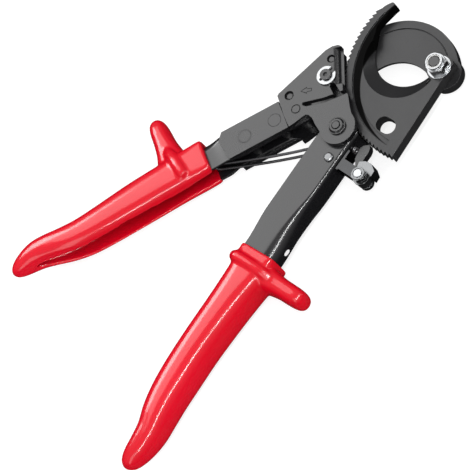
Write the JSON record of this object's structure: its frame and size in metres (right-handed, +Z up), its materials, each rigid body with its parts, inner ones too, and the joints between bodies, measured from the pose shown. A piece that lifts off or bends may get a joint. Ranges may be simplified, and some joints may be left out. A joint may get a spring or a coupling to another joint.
{
  "type": "ratchet cable cutter",
  "caption": "Hand-held ratchet cable cutter: toothed hooked blade fed by a pawl past a curved fixed blade, pressed steel handles with dipped grips and finger guards",
  "frame": {"origin": "on the handle pivot axis, at the flat end of the pivot bolt's head, which is the lowest plane of the tool", "axes": "+X along the fixed handle towards the blades, +Y across towards the moving handle, +Z up through the plates along every pivot"},
  "size_m": [0.2617, 0.1514, 0.0262],
  "materials": {
    "blackened_steel": "gloss black over pressed steel",
    "blade_steel": "blackened, satin ground faces",
    "zinc_plate": "bright zinc plate",
    "dipped_vinyl": "glossy dip-moulded vinyl",
    "spring_wire": "bare spring wire"
  },
  "bodies": {
    "fixed_side": {"fixed_handle": "blackened_steel", "fixed_grip": "dipped_vinyl", "fixed_blade": "blade_steel", "blade_rivets": "blackened_steel", "pivot_bolt": "blackened_steel", "pivot_nut": "blackened_steel", "blade_screw": "zinc_plate", "blade_nut": "zinc_plate", "blade_washer": "zinc_plate", "pawl_bracket": "zinc_plate", "bracket_screw": "zinc_plate", "bracket_nut": "zinc_plate", "spring_pin": "zinc_plate", "holding_pawl_spring": "spring_wire"},
    "cutting_blade": {"moving_blade": "blade_steel"},
    "moving_side": {"moving_handle": "blackened_steel", "moving_grip": "dipped_vinyl", "head_plate_front": "blackened_steel", "head_plate_back": "blackened_steel", "handle_strap": "blackened_steel", "strap_rivets": "blackened_steel", "spacer_rivet": "blackened_steel", "feed_pawl_pin": "zinc_plate", "feed_pawl_clips": "zinc_plate", "spring_stud": "zinc_plate", "stop_pin": "zinc_plate", "feed_pawl_spring": "spring_wire"},
    "feed_lever": {"feed_pawl": "blackened_steel"},
    "holding_lever": {"holding_pawl": "blackened_steel", "release_lever": "zinc_plate"},
    "spring_arm": {"return_spring": "spring_wire", "spring_bush": "spring_wire"}
  },
  "joints": [
    {"name": "handle_squeeze", "type": "hinge", "parent": "fixed_side", "child": "moving_side", "pos_m": [0, 0, 0.0127], "axis": [0, 0, 1], "range_deg": [0, 30]},
    {"name": "blade_turn", "type": "hinge", "parent": "fixed_side", "child": "cutting_blade", "pos_m": [0.0505, -0.0259, 0.015], "axis": [0, 0, 1], "range_deg": [-38, 70]},
    {"name": "feed_pawl_lift", "type": "hinge", "parent": "moving_side", "child": "feed_lever", "pos_m": [0.019, 0.0217, 0.015], "axis": [0, 0, -1], "range_deg": [0, 5], "stiffness_Nm_per_rad": 0.05},
    {"name": "holding_pawl_lift", "type": "hinge", "parent": "fixed_side", "child": "holding_lever", "pos_m": [-0.0146, -0.0239, 0.014], "axis": [0, 0, 1], "range_deg": [0, 8], "stiffness_Nm_per_rad": 0.05},
    {"name": "spring_sweep", "type": "hinge", "parent": "fixed_side", "child": "spring_arm", "pos_m": [-0.0147, -0.0042, 0.0127], "axis": [0, 0, 1], "range_deg": [0, 33.6]}
  ],
  "couplings": [
    {"joint": "spring_sweep", "follows": "handle_squeeze", "ratio": 1.12}
  ]
}
